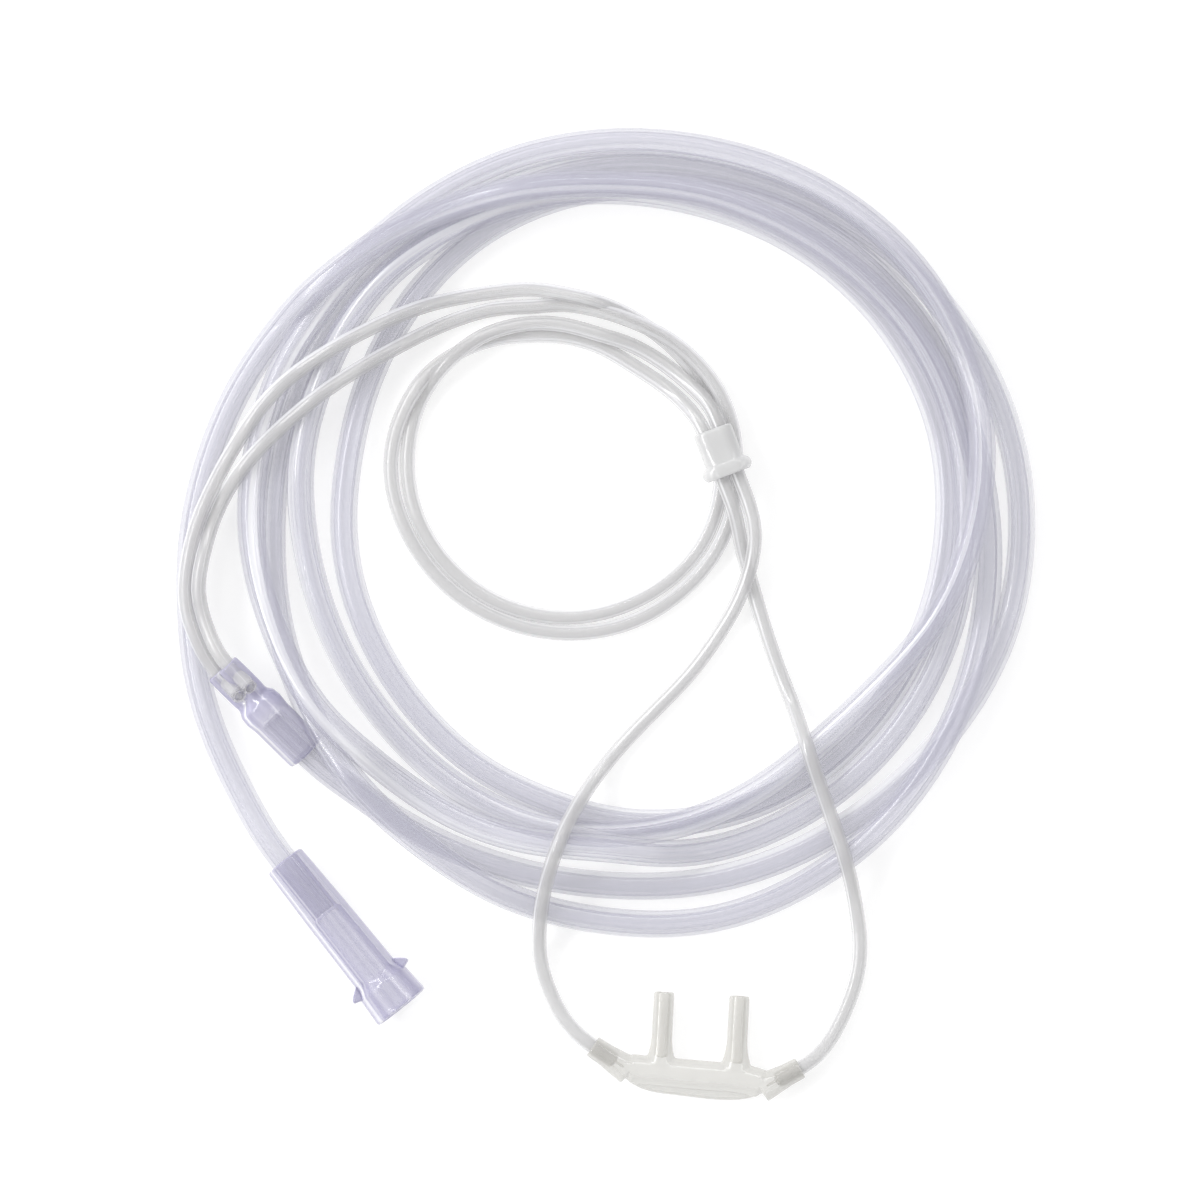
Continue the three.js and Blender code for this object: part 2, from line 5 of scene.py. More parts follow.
import bpy
import numpy as np
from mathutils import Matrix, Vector


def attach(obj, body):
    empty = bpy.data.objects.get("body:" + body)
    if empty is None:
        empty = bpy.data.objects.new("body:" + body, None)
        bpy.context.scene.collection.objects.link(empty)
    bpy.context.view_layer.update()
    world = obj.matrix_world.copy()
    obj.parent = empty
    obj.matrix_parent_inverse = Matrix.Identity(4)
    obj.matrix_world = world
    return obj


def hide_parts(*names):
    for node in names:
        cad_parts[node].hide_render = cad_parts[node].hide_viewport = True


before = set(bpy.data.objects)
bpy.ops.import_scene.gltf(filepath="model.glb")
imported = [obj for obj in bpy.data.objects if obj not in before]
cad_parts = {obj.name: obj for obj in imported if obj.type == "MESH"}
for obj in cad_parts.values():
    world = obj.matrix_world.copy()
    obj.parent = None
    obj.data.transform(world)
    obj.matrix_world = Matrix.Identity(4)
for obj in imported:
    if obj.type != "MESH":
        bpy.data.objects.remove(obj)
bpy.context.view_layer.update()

MM = 0.001

# Sizes and places, as in the solids
SUPPLY_R, LARIAT_R = 2.55, 1.4
CONNECTOR_FROM, CONNECTOR_TO, CONNECTOR_LENGTH = (-41.5, -18.4, 3.9), (-19.7, -45.5, 5.65), 34.9
Y_FROM, Y_TO, Y_LENGTH = (-53.0, 17.3, 3.95 + 22.3 * np.sin(np.radians(8))), (-37.3, 1.6, 3.95), 22.3
SLIDE_FROM, SLIDE_TO, SLIDE_LENGTH = (37.9, 61.7, 6.2), (41.1, 53.2, 6.2), 9.1
NASAL_AT, NASAL_TURN = (35.5, -53.5, 2.75), -3.0
NASAL_MOUTHS = (((-19.8, -0.4, 0.0), -31.0), ((19.0, -2.4, 0.0), 211.0))

# Uncoiled routes: centre-line points between the sockets
SUPPLY_START = [(-33.1, -2.2, 3.4), (-28.9, -5.2, 3.0), (-24.1, -8.6, 2.8)]
SUPPLY_TAIL = [
    (-23.8, 96.5, 7.0), (-31.7, 90.9, 6.6), (-39.0, 84.1, 5.4), (-46.2, 75.3, 4.0), (-52.0, 65.2, 3.0),
    (-56.5, 52.8, 2.6), (-58.9, 39.6, 2.6), (-58.9, 25.8, 2.6), (-57.6, 15.1, 2.6), (-54.3, 4.3, 2.6),
    (-49.8, -5.3, 3.0),
]
LEFT_LEAD = [
    (-56.9, 21.0, 6.8), (-59.1, 26.2, 6.9), (-59.9, 31.9, 6.9), (-59.1, 38.2, 6.9), (-57.7, 44.1, 7.2),
    (-55.4, 49.7, 8.6), (-52.8, 54.9, 10.4), (-48.7, 61.6, 11.4), (-43.9, 67.9, 11.4), (-37.6, 73.3, 11.4),
    (-29.6, 78.2, 11.4), (-21.9, 82.1, 11.0), (-14.5, 84.9, 7.9), (-7.4, 86.5, 4.2), (-0.6, 87.5, 2.0),
    (5.0, 87.8, 1.5),
]
RIGHT_LEAD = [
    (-54.7, 22.0, 8.9), (-56.7, 27.2, 9.0), (-57.6, 31.9, 9.0), (-56.7, 38.2, 9.0), (-54.9, 44.5, 9.2),
    (-51.9, 50.5, 10.0), (-48.0, 55.9, 11.1), (-43.2, 60.9, 11.4), (-36.8, 66.5, 11.4), (-29.4, 71.8, 11.4),
    (-20.6, 76.9, 11.0), (-13.4, 80.6, 8.2), (-7.1, 83.0, 4.8), (-0.6, 84.4, 2.2), (5.0, 84.5, 1.5),
]
LEFT_INLET = [(23.1, 77.4, 1.6), (29.0, 73.9, 2.8), (34.0, 69.8, 4.8), (37.6, 66.0, 6.0)]
RIGHT_INLET = [(21.9, 74.4, 1.6), (27.0, 71.2, 2.8), (31.4, 67.8, 4.8), (34.4, 64.6, 6.0)]
LEFT_LOOP = [
    (45.9, 42.1, 6.1), (45.4, 37.4, 5.6), (44.1, 33.0, 4.9), (41.9, 28.1, 3.9), (38.1, 22.0, 2.3),
    (33.5, 15.9, 1.5), (27.3, 9.5, 1.9), (21.8, 3.8, 5.0), (17.1, -1.8, 9.2), (13.4, -7.2, 11.3),
    (10.2, -13.2, 11.4), (7.8, -19.9, 11.4), (6.3, -26.2, 11.2), (5.8, -32.3, 7.8), (6.1, -37.9, 4.0),
    (7.8, -42.9, 2.75), (10.4, -48.0, 2.75),
]
RIGHT_LOOP = [
    (43.1, 41.2, 4.4), (44.3, 36.5, 2.3), (45.6, 31.9, 1.6), (48.4, 22.6, 1.5), (51.1, 15.1, 3.0),
    (53.4, 9.2, 7.0), (55.4, 3.0, 10.8), (57.7, -3.9, 11.4), (59.9, -10.0, 11.4), (62.1, -16.5, 11.4),
    (63.8, -22.5, 9.9), (64.9, -28.6, 6.2), (65.5, -34.7, 3.3), (64.7, -40.7, 2.75), (62.7, -46.3, 2.75),
    (60.0, -51.6, 2.75),
]

# Supply coil: five turns, counter-clockwise, radius in tenths of a millimetre every 15 degrees from 240
SUPPLY_CENTRE = (18.6, 42.3)
SUPPLY_TURNS = [
    655, 649, 653, 670, 688, 709, 733, 758, 769, 769, 757, 739, 718, 700, 686, 666, 655, 647, 640, 632,
    625, 633, 645, 659, 673, 699, 720, 742, 746, 742, 731, 718, 707, 698, 696, 694, 684, 664, 645, 623,
    590, 554, 523, 500, 491, 484, 480, 484, 495, 509, 532, 554, 575, 591, 604, 618, 631, 645, 651, 649,
    642, 636, 636, 636, 634, 627, 606, 588, 565, 549, 541, 541, 549, 554, 557, 556, 551, 552, 575, 627,
    675, 716, 744, 755, 750, 737, 727, 715, 699, 686, 679, 670, 662, 645, 631, 607, 597, 588, 583, 612,
    629, 642, 651, 658, 664, 677, 679, 668, 657, 651, 646, 658, 677,
]
# Which pass lies over which: (degrees along the coil, layer)
SUPPLY_LAYERS = [
    (200, 0), (560, 0), (590, 1), (930, 1), (960, 2), (1290, 2), (1330, 2.6), (1385, 2.6),
    (1405, 5), (1500, 5), (1530, 2.6), (1640, 2.6), (1665, 4), (1930, 4), (1990, 0), (2300, 0),
]

# Small coil of the two thin tubes: centre-line points of each, clockwise from the leads to the slide
LEFT_OVER = [
    (9.7, 87.0), (14.3, 86.0), (19.0, 84.4), (23.1, 82.6), (26.0, 80.6), (29.2, 78.3), (32.8, 74.8),
    (35.2, 71.7), (36.8, 68.9), (38.3, 65.3),
]
RIGHT_OVER = [
    (9.7, 85.1), (14.3, 84.5), (19.0, 83.4), (23.1, 81.8), (26.0, 80.6), (29.4, 78.8), (32.4, 76.7),
    (35.7, 73.5), (39.0, 69.1), (41.2, 64.1),
]
LARIAT_CENTRE = (10.6, 55.1)
LEFT_ROUND = [
    (8, 29.3), (-5, 29.3), (-20, 29.4), (-35, 29.3), (-50, 28.9), (-65, 28.5), (-80, 28.4), (-95, 28.4),
    (-110, 28.5), (-125, 28.7), (-140, 28.9), (-155, 29.1), (-170, 29.3), (-185, 29.4), (-200, 29.6),
    (-214, 29.5), (-228, 28.8),
]
RIGHT_ROUND = [
    (8, 31.8), (-5, 32.0), (-20, 32.3), (-35, 32.3), (-50, 32.0), (-65, 31.8), (-80, 31.5), (-95, 31.2),
    (-110, 31.1), (-125, 31.2), (-140, 31.5), (-155, 31.9), (-170, 32.4), (-185, 32.4), (-200, 31.6),
    (-214, 30.4), (-228, 28.7),
]
LEFT_UNDER = [(-4.6, 79.2), (-1.2, 80.4), (2.6, 81.3), (6.3, 81.5), (10.9, 81.1), (15.6, 79.7), (19.5, 78.6)]
RIGHT_UNDER = [(-4.6, 78.0), (-1.2, 78.9), (2.6, 79.2), (6.3, 79.3), (10.9, 79.0), (15.6, 77.8), (19.0, 76.3)]


# Frames and curves
def unit(v):
    """A vector, or each row of an array, at length one."""
    v = np.asarray(v, float)
    return v / np.linalg.norm(v, axis=-1, keepdims=True)


def fitting_frame(start, end):
    """(origin, 3 x 3 axes as rows): x from start to end, y level, z upwards."""
    x = unit(np.subtract(end, start))
    y = unit([-x[1], x[0], 0.0])
    return np.asarray(start, float), np.array([x, y, np.cross(x, y)])


def placed(frame_, points):
    """Points given in a fitting's own frame, put in the row frame."""
    origin, axes = frame_
    return origin + np.asarray(points, float) @ axes


def smooth_line(points, step):
    """A cubic through the points: a natural spline of place against chord length, read at even steps."""
    p = np.asarray(points, float)
    t = np.r_[0.0, np.cumsum(np.maximum(np.linalg.norm(np.diff(p, axis=0), axis=1), 1e-6) ** 0.75)]
    h = np.diff(t)
    n = len(p)
    a = np.zeros((n, n))
    b = np.zeros((n, p.shape[1]))
    i = np.arange(1, n - 1)
    a[0, 0] = a[-1, -1] = 1.0
    a[i, i - 1], a[i, i], a[i, i + 1] = h[:-1], 2 * (h[:-1] + h[1:]), h[1:]
    slope = np.diff(p, axis=0) / h[:, None]
    b[1:-1] = 6 * np.diff(slope, axis=0)
    m = np.linalg.solve(a, b)
    u = np.linspace(0, t[-1], 12 * n)
    k = np.clip(np.searchsorted(t, u, side="right") - 1, 0, n - 2)
    x, hk = (u - t[k])[:, None], h[k][:, None]
    c = slope[k] - hk * (2 * m[k] + m[k + 1]) / 6
    line = p[k] + x * (c + x * (m[k] / 2 + x * (m[k + 1] - m[k]) / (6 * hk)))
    return even_line(line, step)


def even_line(line, step):
    """The same line with its points at even steps of length."""
    s = np.r_[0.0, np.cumsum(np.linalg.norm(np.diff(line, axis=0), axis=1))]
    u = np.linspace(0, s[-1], int(round(s[-1] / step)) + 1)
    return np.column_stack([np.interp(u, s, line[:, k]) for k in range(line.shape[1])])


def eased(values, width):
    """Each column averaged along the line with a bell of that many points, ends kept."""
    reach = int(3 * width)
    bell = np.exp(-0.5 * (np.arange(-reach, reach + 1) / width) ** 2)
    bell /= bell.sum()
    head = 2 * values[0] - values[reach:0:-1]
    tail = 2 * values[-1] - values[-2:-reach - 2:-1]
    padded = np.concatenate([head, values, tail])
    out = np.column_stack([np.convolve(padded[:, k], bell, "valid") for k in range(values.shape[1])])
    return out


# Routes of the three tubes
Y_FRAME = fitting_frame(Y_FROM, Y_TO)
CONNECTOR_FRAME = fitting_frame(CONNECTOR_FROM, CONNECTOR_TO)
SLIDE_FRAME = fitting_frame(SLIDE_FROM, SLIDE_TO)
TURN = np.radians(NASAL_TURN)
NASAL_FRAME = (
    np.array(NASAL_AT),
    np.array([[np.cos(TURN), np.sin(TURN), 0], [-np.sin(TURN), np.cos(TURN), 0], [0, 0, 1.0]]),
)
BARREL = 1.75 * np.sqrt(0.5)


def round_centre(centre, degrees, radii):
    """Plan points round a centre from clock angles and radii."""
    a = np.radians(degrees)
    return np.column_stack([centre[0] + radii * np.cos(a), centre[1] + radii * np.sin(a)])


def layered(plan, z):
    """Plan points with a height beside each."""
    return np.column_stack([plan, np.broadcast_to(z, len(plan))])


def supply_line():
    """Start socket, start route, five turns, tail and connector socket, as one line; layers set its heights."""
    turn = 240.0 + 15.0 * np.arange(len(SUPPLY_TURNS))
    coil = round_centre(SUPPLY_CENTRE, turn, 0.1 * np.array(SUPPLY_TURNS, float))
    layer = np.interp(turn, *np.array(SUPPLY_LAYERS, float).T)
    start = placed(Y_FRAME, [(13.4, 0, 0), (18.9, 0, 0), (24.3, 0, 0)])
    end = placed(CONNECTOR_FRAME, [(-4, 0, 0), (4.05, 0, 0), (12.1, 0, 0)])
    tail = np.array(SUPPLY_TAIL)
    tail[:, 2] += np.interp(np.arange(len(tail)), [0, 1, 2, 5], [16, 14, 11, 0])
    return np.concatenate([start, SUPPLY_START, layered(coil, SUPPLY_R + 5.4 * layer), tail, end])


def lariat_line(side):
    """One thin tube from its Y barrel over the coil, round, under, through the slide and to the nasal piece."""
    left = side > 0
    lead, over = (LEFT_LEAD, LEFT_OVER) if left else (RIGHT_LEAD, RIGHT_OVER)
    ring, under = (LEFT_ROUND, LEFT_UNDER) if left else (RIGHT_ROUND, RIGHT_UNDER)
    inlet, loop = (LEFT_INLET, LEFT_LOOP) if left else (RIGHT_INLET, RIGHT_LOOP)
    y, z = (-BARREL, -BARREL) if left else (BARREL, BARREL)
    start = placed(Y_FRAME, [(6.2, y, z), (2.35, y, z), (-1.5, y, z)])
    ring = np.array(ring, float)
    rise = 1.5 if left else 4.4
    ring_height = np.interp(-ring[:, 0], [185, 214], [1.5, 5.9 - rise])
    middle = np.concatenate([
        layered(over, rise), layered(round_centre(LARIAT_CENTRE, ring[:, 0], ring[:, 1]), ring_height),
        layered(under, 5.9 - rise),
    ])
    held = placed(SLIDE_FRAME, [(d, side * 1.5, 0) for d in (-1, 3, 7, 11, 16.6)])
    (mouth, heading) = NASAL_MOUTHS[0 if left else 1]
    way = np.array([np.cos(np.radians(heading)), np.sin(np.radians(heading)), 0])
    end = placed(NASAL_FRAME, [np.array(mouth) + d * way for d in (-2, 2.5, 4.7)])
    return np.concatenate([start, lead, middle, inlet, held, loop, end])


def held_share(line, anchors, reach):
    """1 within reach of an anchor point and 0 elsewhere."""
    near = np.min(np.linalg.norm(line[:, None, :] - np.asarray(anchors)[None], axis=2), axis=1)
    return near < reach


def settle(lines, radii, held, blocks, rounds=300):
    """Lets the tubes down onto the floor and each other. Each round lowers the free points a little, pushes apart
    pairs of points nearer than the sum of their radii (mostly upwards, the one that started higher going up),
    evens out each tube's heights as its own stiffness would, and keeps every point close to its place in plan."""
    p = np.concatenate(lines + [blocks[:, :3]])
    r = np.concatenate([np.full(len(l), q) for l, q in zip(lines, radii)] + [blocks[:, 3]])
    owner = np.concatenate([np.full(len(l), k) for k, l in enumerate(lines)] + [np.full(len(blocks), -1)])
    along = np.concatenate([np.arange(len(l)) for l in lines] + [np.zeros(len(blocks))])
    free = np.concatenate([~h for h in held] + [np.zeros(len(blocks), bool)])
    home = p[:, :2].copy()
    gap = np.linalg.norm(p[:, None, :2] - p[None, :, :2], axis=2)
    near = gap < r[:, None] + r[None, :] + 1.0
    apart = (owner[:, None] != owner[None, :]) | (np.abs(along[:, None] - along[None, :]) > 7)
    i, j = np.nonzero(np.triu(near & apart & (free[:, None] | free[None, :]), 1))
    touch = r[i] + r[j] + 0.05
    lift = np.where(np.abs(p[j, 2] - p[i, 2]) > 0.5, np.sign(p[j, 2] - p[i, 2]), 0.0)
    share_i = np.where(free[i], np.where(free[j], 0.5, 1.0), 0.0)[:, None]
    share_j = np.where(free[j], np.where(free[i], 0.5, 1.0), 0.0)[:, None]
    first = np.r_[0, np.cumsum([len(l) for l in lines])]
    sideways = np.array([0.18, 0.18, 1.0])
    for k in range(rounds):
        late = k > rounds - 70
        p[free, 2] -= 0.0 if late else 0.3
        for _ in range(4):
            d = p[j] - p[i]
            dist = np.maximum(np.linalg.norm(d, axis=1), 1e-6)
            d[:, 2] += 1.2 * lift
            push = np.maximum(touch - dist, 0.0)[:, None] * unit(d + 1e-6) * sideways
            hit = (push[:, 2] != 0).astype(float)
            total, count = np.zeros_like(p), np.zeros(len(p))
            np.add.at(total, i, -push * share_i)
            np.add.at(total, j, push * share_j)
            np.add.at(count, i, hit)
            np.add.at(count, j, hit)
            p += 1.3 * total / np.maximum(np.sqrt(count), 1.0)[:, None]
            p[free, 2] = np.maximum(p[free, 2], r[free])
        for a, b in zip(first[:-1], first[1:]):
            q, f = p[a:b], free[a + 1:b - 1]
            q[1:-1, 2] += (0.12 if late else 0.3) * (0.5 * (q[:-2, 2] + q[2:, 2]) - q[1:-1, 2]) * f
            shift = q[:, :2] - home[a:b]
            shift[1:-1] += 0.4 * (0.5 * (shift[:-2] + shift[2:]) - shift[1:-1])
            size = np.linalg.norm(shift, axis=1, keepdims=True)
            shift *= 0.94 * np.minimum(1.0, 0.35 / np.maximum(size, 1e-6))
            q[:, :2] = np.where(free[a:b, None], home[a:b] + shift, q[:, :2])
        p[free, 2] = np.maximum(p[free, 2], r[free])
    return [p[a:b] for a, b in zip(first[:-1], first[1:])]


def tube_lines():
    """The three settled centre lines. The thin tubes start high where they lie over the supply coil."""
    step = 2.2
    supply = smooth_line(supply_line(), step)
    thin = [smooth_line(lariat_line(side), 0.8 * step) for side in (1, -1)]
    slide = placed(SLIDE_FRAME, [(d, 0, 0) for d in (0, 4, 8, 12, 16)])
    nasal = [placed(NASAL_FRAME, [mouth])[0] for mouth, _ in NASAL_MOUTHS]
    in_y = placed(Y_FRAME, [(16, 0, 0)])[0]
    in_connector = placed(CONNECTOR_FRAME, [(8, 0, 0)])[0]
    sockets = [Y_TO, in_y, CONNECTOR_FROM, in_connector]
    held = [held_share(supply, sockets, 7.5)] + [held_share(l, [Y_FROM, *slide, *nasal], 4.5) for l in thin]
    for line, fixed in zip(thin, held[1:]):
        outside = np.clip((np.hypot(*(line[:, :2] - SUPPLY_CENTRE).T) - 40) / 8, 0, 1)
        steps = np.min(np.abs(np.arange(len(line))[:, None] - np.nonzero(fixed)[0][None]), axis=1)
        line[:, 2] += np.where(fixed, 0, 22 * outside * np.clip(0.8 * step * steps / 12, 0, 1))
    hub = np.arange(9.5, 22, 1.0)
    blocks = np.column_stack([placed(Y_FRAME, np.outer(hub, (1, 0, 0))), np.where(hub < 13, 4.25, 3.95)])
    settled = settle([supply, *thin], [SUPPLY_R, LARIAT_R, LARIAT_R], held, blocks)
    return [even_line(eased(l, 1.2), 1.5 if k == 0 else 1.1) for k, l in enumerate(settled)]


# Surfaces
def grid_faces(rows, columns, wrap_rows=False):
    """Quads of a grid of points, row by row, closed round its columns and, if asked, from last row to
    first."""
    i = np.arange(rows if wrap_rows else rows - 1)
    j = np.arange(columns)
    i, j = np.meshgrid(i, j, indexing="ij")
    i2, j2 = (i + 1) % rows, (j + 1) % columns
    quads = [i * columns + j, i * columns + j2, i2 * columns + j2, i2 * columns + j]
    return np.stack(quads, -1).reshape(-1, 4)


def volume(points, faces):
    """Six times the signed volume inside quads or triangles, positive when they face out."""
    total = 0.0
    for f in faces:
        f = np.asarray(f)
        for a, b in ((1, 2), (2, 3)) if f.shape[1] == 4 else ((1, 2),):
            total += np.einsum("ij,ij->", points[f[:, 0]], np.cross(points[f[:, a]], points[f[:, b]]))
    return total


def surface(name, parts, along=None, dense=None):
    """One mesh object from closed parts, each (points in millimetres, list of face arrays), turned to face out.
    along holds each point's place for the lengthwise streaks, dense how much more tint it shows, from 0 to 1."""
    points, corners, sizes = [], [], []
    base = 0
    for p, faces in parts:
        turned_in = volume(p, faces) < 0
        for f in faces:
            f = f[:, ::-1] if turned_in else f
            corners.append((f + base).ravel())
            sizes.append(np.full(len(f), f.shape[1]))
        points.append(p)
        base += len(p)
    points, corners, sizes = np.concatenate(points), np.concatenate(corners), np.concatenate(sizes)
    mesh = bpy.data.meshes.new(name)
    mesh.vertices.add(len(points))
    mesh.vertices.foreach_set("co", (points * MM).astype(np.float32).ravel())
    mesh.loops.add(len(corners))
    mesh.loops.foreach_set("vertex_index", corners.astype(np.int32))
    mesh.polygons.add(len(sizes))
    mesh.polygons.foreach_set("loop_start", np.r_[0, np.cumsum(sizes)[:-1]].astype(np.int32))
    mesh.polygons.foreach_set("use_smooth", np.full(len(sizes), True))
    mesh.update(calc_edges=True)
    mesh.validate()
    obj = bpy.data.objects.new(name, mesh)
    bpy.context.scene.collection.objects.link(obj)
    if along is not None:
        lengthwise_place = mesh.attributes.new("Along", "FLOAT_VECTOR", "POINT")
        lengthwise_place.data.foreach_set("vector", along.astype(np.float32).ravel())
    if dense is not None:
        tint = mesh.attributes.new("Dense", "FLOAT", "POINT")
        tint.data.foreach_set("value", dense.astype(np.float32))
    return obj


def fan(ring, centre):
    """Triangles from each pair of neighbours in a ring of point numbers to one centre point."""
    return np.column_stack([ring, np.roll(ring, -1), np.full(len(ring), centre)])


def carried_frames(line):
    """Tangent, side and up vectors along a line, each turned as little as possible from the one before."""
    t = unit(np.gradient(line, axis=0))
    side = np.zeros_like(t)
    side[0] = unit(np.cross([0, 0, 1.0], t[0]))
    for k in range(1, len(t)):
        s = side[k - 1] - t[k] * (side[k - 1] @ t[k])
        side[k] = s / np.linalg.norm(s)
    return t, side, np.cross(t, side)


def hollow_tube(name, line, outline, bore, sides, bore_sides, twist):
    """A tube carried along a line. Its outer wall is outline(angle, s) from the line, its bore is bore(angle, s),
    where s is the length so far and the bore turns slowly about the line by twist(s); flat rings join them."""
    s = np.r_[0, np.cumsum(np.linalg.norm(np.diff(line, axis=0), axis=1))]
    _, side, up = carried_frames(line)

    def wall(radius, count, turn):
        a = 2 * np.pi * np.arange(count) / count
        angle = a[None] + turn[:, None]
        r = radius(a[None], s[:, None]) * np.ones((len(s), count))
        way = np.cos(angle)[..., None] * side[:, None] + np.sin(angle)[..., None] * up[:, None]
        out = line[:, None] + r[..., None] * way
        one = np.ones_like(r)
        data = np.stack([np.cos(a)[None] * one, np.sin(a)[None] * one, s[:, None] * one * 0.01], -1)
        return out.reshape(-1, 3), data.reshape(-1, 3)

    outer, outer_data = wall(outline, sides, twist(s))
    inner, inner_data = wall(bore, bore_sides, twist(s))
    rows = len(s)
    faces = [grid_faces(rows, sides), grid_faces(rows, bore_sides)[:, ::-1] + rows * sides]
    # rings at the two ends: each outer step is joined to the bore point it faces
    k = np.arange(sides)
    ratio = bore_sides // sides
    for row, flip in ((0, True), (rows - 1, False)):
        o = row * sides + k
        o2 = row * sides + (k + 1) % sides
        tri = []
        for q in range(ratio):
            b = rows * sides + row * bore_sides + (k * ratio + q) % bore_sides
            b2 = rows * sides + row * bore_sides + (k * ratio + q + 1) % bore_sides
            tri.append(np.column_stack([o, b2, b] if flip else [o, b, b2]))
        b = rows * sides + row * bore_sides + ((k + 1) * ratio) % bore_sides
        tri.append(np.column_stack([o, o2, b] if flip else [o, b, o2]))
        faces.append(np.concatenate(tri))
    return surface(name, [(np.concatenate([outer, inner]), faces)], np.concatenate([outer_data, inner_data]))


def revolved(profile, frame_, sides=64):
    """A closed loop of (distance, radius) pairs turned about a fitting's x axis."""
    profile = np.asarray(profile, float)
    a = 2 * np.pi * np.arange(sides) / sides
    x = np.repeat(profile[:, :1], sides, axis=1)
    p = np.stack([x, profile[:, 1:] * np.cos(a), profile[:, 1:] * np.sin(a)], -1).reshape(-1, 3)
    return placed(frame_, p), [grid_faces(len(profile), sides, wrap_rows=True)]


def rounded(profile, radius, steps=4):
    """A closed loop of corners with each corner cut back and replaced by a short arc."""
    p = np.asarray(profile, float)
    before, after = np.roll(p, 1, axis=0), np.roll(p, -1, axis=0)
    shorter = np.minimum(np.linalg.norm(p - before, axis=1), np.linalg.norm(after - p, axis=1))
    reach = np.minimum(shorter * 0.45, radius)
    a = p + unit(before - p) * reach[:, None]
    b = p + unit(after - p) * reach[:, None]
    t = np.linspace(0, 1, steps + 1)[None, :, None]
    arc = (1 - t) ** 2 * a[:, None] + 2 * t * (1 - t) * p[:, None] + t ** 2 * b[:, None]
    return arc.reshape(-1, 2)


def polar_section(outline, stations, frame_, sides=72):
    """A closed body along x: at each station the section is outline(angle, station), capped at both ends."""
    a = 2 * np.pi * np.arange(sides) / sides
    r = np.array([outline(a, k) for k in range(len(stations))])
    x = np.repeat(np.asarray(stations, float)[:, None], sides, axis=1)
    p = np.stack([x, r * np.cos(a), r * np.sin(a)], -1).reshape(-1, 3)
    n = len(stations)
    p = np.concatenate([p, [[stations[0], 0, 0], [stations[-1], 0, 0]]])
    first = fan(np.arange(sides)[::-1], n * sides)
    last = fan(np.arange(sides) + (n - 1) * sides, n * sides + 1)
    return placed(frame_, p), [grid_faces(n, sides), first, last]


def slot_radius(a, width, height):
    """Polar radius of a slot with round ends: straight sides up to the end arcs, then the arcs."""
    h = height / 2
    c = (width - height) / 2
    flat = h / np.maximum(np.abs(np.sin(a)), 1e-6)
    ends = c * np.abs(np.cos(a)) + np.sqrt(np.maximum(h * h - (c * np.sin(a)) ** 2, 0))
    return np.where(flat * np.abs(np.cos(a)) <= c, flat, ends)


